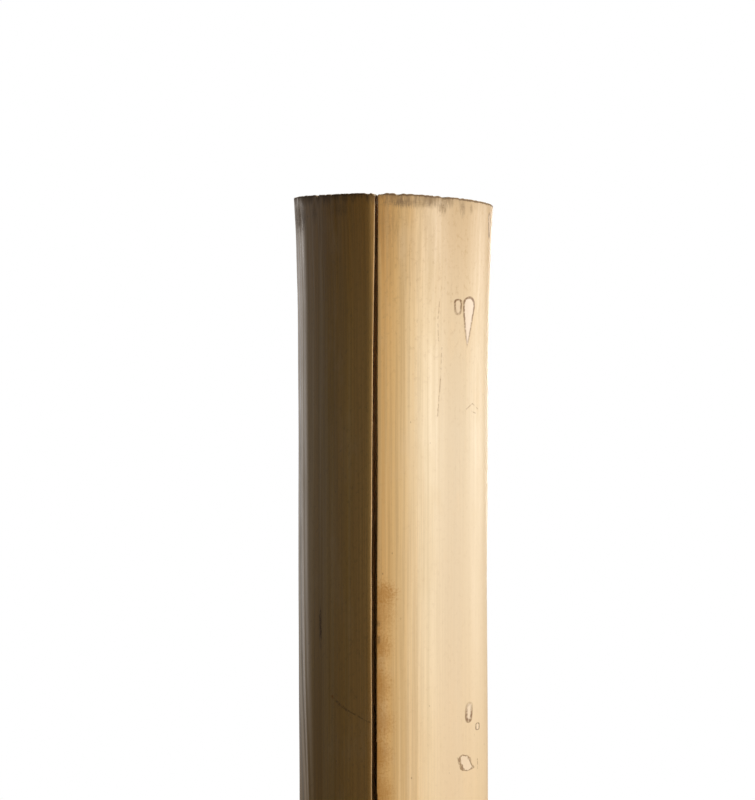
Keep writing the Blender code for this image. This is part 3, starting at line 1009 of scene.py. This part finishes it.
def make_branch_stub(name, bearing, height, cut_radius):
    """A short tapered stub with a rounded edge, a sunk pith in its cut, and slight growth rings."""
    shape = bmesh.new()
    root = STUB_FLARE * cut_radius
    bmesh.ops.create_cone(
        shape, cap_ends=True, segments=40, radius1=root, radius2=cut_radius, depth=STUB_LENGTH
    )
    bmesh.ops.translate(shape, verts=shape.verts, vec=(0.0, 0.0, -STUB_LENGTH / 2.0))
    sides = [edge for edge in shape.edges if abs(edge.verts[0].co.z - edge.verts[1].co.z) > 1.0]
    top_face(shape).material_index = CUT_MATERIAL
    bmesh.ops.subdivide_edges(shape, edges=sides, cuts=7)
    rim = list(top_face(shape).edges)
    rounding = {"segments": 3, "profile": 0.5, "material": -1, "clamp_overlap": True}
    bmesh.ops.bevel(shape, geom=rim, affect="EDGES", offset=STUB_EDGE, **rounding)
    cap = top_face(shape)
    for share, depth in CUT_RINGS:
        inset = share * cut_radius
        bmesh.ops.inset_region(shape, faces=[cap], thickness=inset, depth=depth, use_even_offset=True)
    bmesh.ops.triangulate(shape, faces=[cap])
    right, back = outwards(bearing)
    outward = Vector((right, back, math.tan(math.radians(BRANCH_RISE))))
    place = Vector((BRANCH_REACH * right + along_curve(BOW, height), BRANCH_REACH * back, height))
    for point in shape.verts:
        rough = noise.noise(point.co * 0.8 + Vector((bearing, 0.0, 0.0)))
        drawn_out = Vector((point.co.x, point.co.y, 0.3 * point.co.z)) * 0.35
        grown = 1.0 + OUT_OF_ROUND * noise.noise(drawn_out + Vector((bearing, 4.0, 0.0)))
        point.co = Vector((point.co.x * grown, point.co.y * grown, point.co.z + STUB_ROUGHNESS * rough))
    bmesh.ops.transform(shape, verts=shape.verts, matrix=outward.to_track_quat("Z", "Y").to_matrix().to_4x4())
    bmesh.ops.translate(shape, verts=shape.verts, vec=place)
    bmesh.ops.scale(shape, verts=shape.verts, vec=(MM, MM, MM))
    bmesh.ops.recalc_face_normals(shape, faces=shape.faces)
    return make_object(name, shape, 40)


def make_bark_material():
    material, tree, place = new_material("branch_bark")
    grain = use_group(tree, GRAIN, {"Place": place, "Stretch": 0.5, "Fineness": 900.0})
    mottle = noise_over(tree, place, 380.0, 4.0, 0.6)
    colour = mix_colours(tree, rise(tree, mottle, 0.35, 0.65), BARK_TAN, BARK_BROWN)
    streaks = rise(tree, grain["Fine Streaks"], 0.3, 0.7, 0.82, 1.06)
    colour = mix_colours(tree, 1.0, colour, streaks, "MULTIPLY")
    height = add(tree, mottle, grain["Fine Streaks"])
    return finish_material(material, colour, rise(tree, mottle, 0.3, 0.7, 0.50, 0.74), height, 0.6, 0.2)


def make_branch_cut_material():
    material, tree, place = new_material("branch_cut")
    ends = use_group(tree, FIBRE_ENDS, {"Place": place, "Depth": 0.3, "Fineness": 1100.0})
    mottle = noise_over(tree, place, 420.0, 4.0, 0.6)
    colour = mix_colours(tree, rise(tree, mottle, 0.35, 0.65), DRIED_PITH_PALE, DRIED_PITH_BROWN)
    colour = mix_colours(tree, multiply(tree, ends["Dots"], 0.6), colour, RIND_COLOUR)
    height = add(tree, mottle, ends["Dots"])
    return finish_material(material, colour, rise(tree, mottle, 0.3, 0.7, 0.75, 0.92), height, 0.7, 0.2)


bark, branch_cut = make_bark_material(), make_branch_cut_material()
for scar_name, (scar_bearing, scar_height, scar_radius) in BRANCH_SCARS.items():
    scar = make_branch_stub(scar_name, scar_bearing, scar_height, scar_radius)
    scar.data.materials.append(bark)
    scar.data.materials.append(branch_cut)
    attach(scar, "root")


# The studio. A plain pale floor, a white backdrop that only the camera sees and a large soft lamp to
# the right of the camera, with weaker lamps at the side, front, back and top, a strip of light from
# behind on the left and a dim warm fill.
LAMP_WHITE = (1.0, 0.985, 0.955)
BACKDROP_FILL = {"Color": (1.0, 0.86, 0.55), "Strength": 0.015}


def make_lamp(name, bearing, size, watts, height=0.32, distance=1.5, aim_height=0.15, colour=LAMP_WHITE):
    """A rectangular lamp at a bearing, in metres, aimed at the cane's axis."""
    right, back = outwards(bearing)
    light = bpy.data.lights.new(name, "AREA")
    light.shape = "RECTANGLE"
    light.size, light.size_y = size
    light.energy = watts
    light.color = colour
    lamp = bpy.data.objects.new(name, light)
    lamp.location = (distance * right, distance * back, height)
    lamp.rotation_mode = "QUATERNION"
    lamp.rotation_quaternion = (Vector((0.0, 0.0, aim_height)) - lamp.location).to_track_quat("-Z", "Y")
    bpy.context.scene.collection.objects.link(lamp)


make_lamp("soft_box", 45.5, (0.55, 0.6), 20.3)
make_lamp("side_lamp", 118.0, (0.5, 0.6), 8.0)
make_lamp("front_lamp", 8.0, (0.6, 0.6), 1.6, colour=(1.0, 0.87, 0.60))
make_lamp("back_lamp", 170.0, (0.6, 0.6), 10.0, height=0.42)
make_lamp("top_lamp", 175.0, (0.35, 0.35), 6.0, height=1.5, distance=0.5, aim_height=0.36)
make_lamp("strip_light", -131.0, (0.16, 0.6), 4.0, height=0.31, distance=1.2, colour=(1.0, 0.99, 1.0))

backdrop = bpy.data.worlds.new("studio")
backdrop.use_nodes = True
world_tree = backdrop.node_tree
world_tree.nodes.clear()
seen = add_node(world_tree, "ShaderNodeBackground", {"Color": (1.0, 1.0, 1.0)})
fill = add_node(world_tree, "ShaderNodeBackground", BACKDROP_FILL)
rays = add_node(world_tree, "ShaderNodeLightPath").outputs["Is Camera Ray"]
chosen = add_node(world_tree, "ShaderNodeMixShader", {0: rays, 1: fill.outputs[0], 2: seen.outputs[0]})
add_node(world_tree, "ShaderNodeOutputWorld", {"Surface": chosen.outputs[0]})
bpy.context.scene.world = backdrop
bpy.context.scene.view_settings.view_transform = "Standard"

FLOOR_RADIUS = 0.6
FLOOR_FADES_FROM = 0.25


def make_floor_material():
    """Matt pale paint that fades out at the floor's edge. It throws little light back at the cane."""
    material, tree, place = new_material("floor_paint")
    clouds = noise_over(tree, place, 22.0, 4.0, 0.6)
    paint = mix_colours(tree, clouds, (0.74, 0.73, 0.70), (0.80, 0.79, 0.77))
    shader = tree.nodes["Principled BSDF"]
    feed(tree, shader, {"Base Color": paint, "Roughness": 0.9, "Specular IOR Level": 0.1})
    feed(tree, shader, {"Emission Color": (1.0, 0.985, 0.96), "Emission Strength": 0.30})
    dim = add_node(tree, "ShaderNodeBsdfDiffuse", {"Color": (0.05, 0.042, 0.028)})
    clear = add_node(tree, "ShaderNodeBsdfTransparent")
    rays = add_node(tree, "ShaderNodeLightPath").outputs["Is Camera Ray"]
    seen = add_node(tree, "ShaderNodeMixShader", {0: rays, 1: dim.outputs[0], 2: shader.outputs[0]})
    fading = rise(tree, measure_vector(tree, "LENGTH", place), FLOOR_FADES_FROM, 0.95 * FLOOR_RADIUS)
    faded = add_node(tree, "ShaderNodeMixShader", {0: fading, 1: seen.outputs[0], 2: clear.outputs[0]})
    tree.links.new(faded.outputs[0], tree.nodes["Material Output"].inputs["Surface"])
    return material


floor_shape = bmesh.new()
bmesh.ops.create_circle(floor_shape, cap_ends=True, segments=96, radius=FLOOR_RADIUS)
floor = make_object("floor", floor_shape, 30)
floor.data.materials.append(make_floor_material())

# The camera stands level in front of the cane, with its axis a little left of the cane's own.
CAMERA_DISTANCE = 0.99
CAMERA_LEFT = 0.0063
CAMERA_HEIGHT = 0.2757
PIXELS_PER_METRE = 2355.0
FRAME_HEIGHT = 800.0
camera_data = bpy.data.cameras.new("camera")
camera_data.lens = camera_data.sensor_width * PIXELS_PER_METRE * CAMERA_DISTANCE / FRAME_HEIGHT
camera = bpy.data.objects.new("camera", camera_data)
camera.location = (-CAMERA_LEFT, -CAMERA_DISTANCE, CAMERA_HEIGHT)
camera.rotation_euler = (math.radians(90.0), 0.0, 0.0)
bpy.context.scene.collection.objects.link(camera)
bpy.context.scene.camera = camera

bpy.context.view_layer.update()
